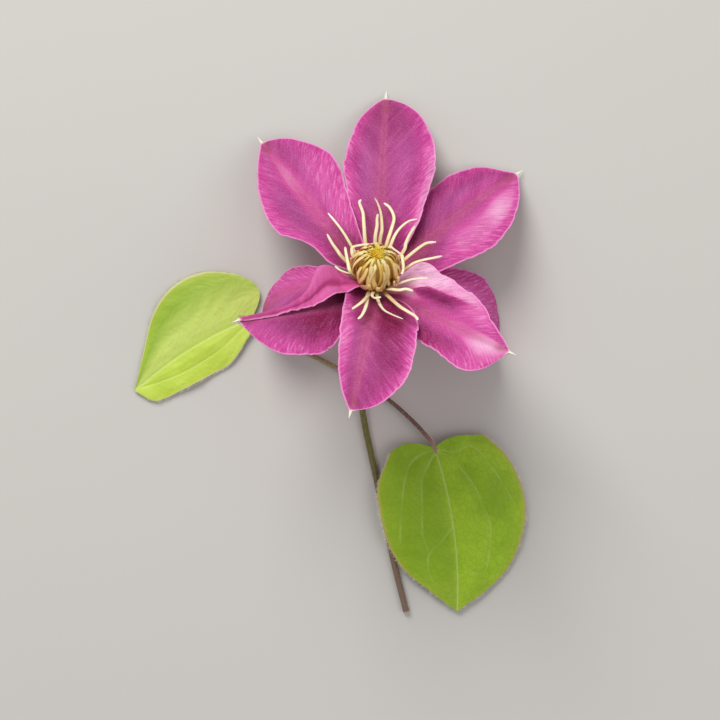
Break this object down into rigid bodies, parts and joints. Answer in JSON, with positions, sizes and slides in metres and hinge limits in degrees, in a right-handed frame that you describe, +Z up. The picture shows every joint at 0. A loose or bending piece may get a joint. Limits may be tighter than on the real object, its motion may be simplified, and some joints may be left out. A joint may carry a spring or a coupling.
{
  "type": "clematis flower",
  "caption": "Cut clematis bloom with waved and folded sepals, a head of strap-like stamens and a leafy stem, lying on a surface.",
  "frame": {"origin": "on the surface that the flower lies on, below the middle of the whole", "axes": "+Z up from the surface; +Y from the stem's cut end towards the bloom; +X to the right, towards the broad leaf"},
  "size_m": [0.141, 0.1882, 0.0844],
  "materials": {
    "sepals": "satin petal, crimson to lilac pink with a bright rim and a salmon bar",
    "stamens": "waxy cream straps with peach edges",
    "styles": "matte yellow",
    "stem": "fine-haired green to brown stem",
    "young_leaf": "satin pale yellow-green leaf",
    "leaf": "satin green leaf with pale veins and a fine-haired yellow rim"
  },
  "bodies": {
    "root": {"sepal_top": "sepals", "sepal_upper_left": "sepals", "sepal_left_back": "sepals", "sepal_lower_left": "sepals", "sepal_bottom": "sepals", "sepal_lower_right": "sepals", "sepal_right_back": "sepals", "sepal_upper_right": "sepals", "stamens": "stamens", "styles": "styles", "stem": "stem", "leaf_left": "young_leaf", "leaf_right": "leaf"}
  },
  "joints": []
}
